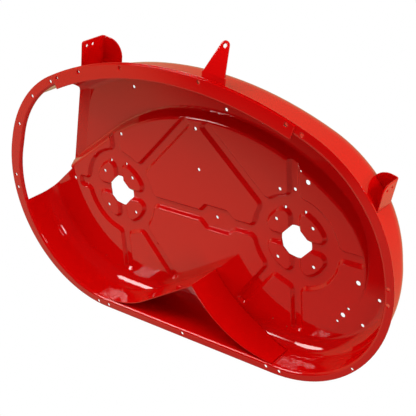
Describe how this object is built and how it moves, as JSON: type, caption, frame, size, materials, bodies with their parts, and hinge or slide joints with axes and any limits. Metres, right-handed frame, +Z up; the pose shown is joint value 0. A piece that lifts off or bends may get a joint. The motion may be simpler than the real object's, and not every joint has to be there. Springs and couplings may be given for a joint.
{
  "type": "lawn mower deck",
  "caption": "Pressed steel mower deck with spindle seats, raised discharge tunnel, rim flange, rear baffle and welded brackets, open below.",
  "frame": {"origin": "midway between the two spindle axes, on the plane of the rim flange's underside", "axes": "+X from the discharge end to the closed end along the spindle line, +Y to the rear, +Z up with the open side down"},
  "size_m": [1.147, 0.7593, 0.1278],
  "materials": {
    "red_paint": "gloss red powder coat over pressed steel"
  },
  "bodies": {
    "root": {"deck_shell": "red_paint", "front_strip": "red_paint", "rear_baffle": "red_paint", "left_bracket": "red_paint", "right_bracket": "red_paint", "nose_bracket": "red_paint"}
  },
  "joints": []
}
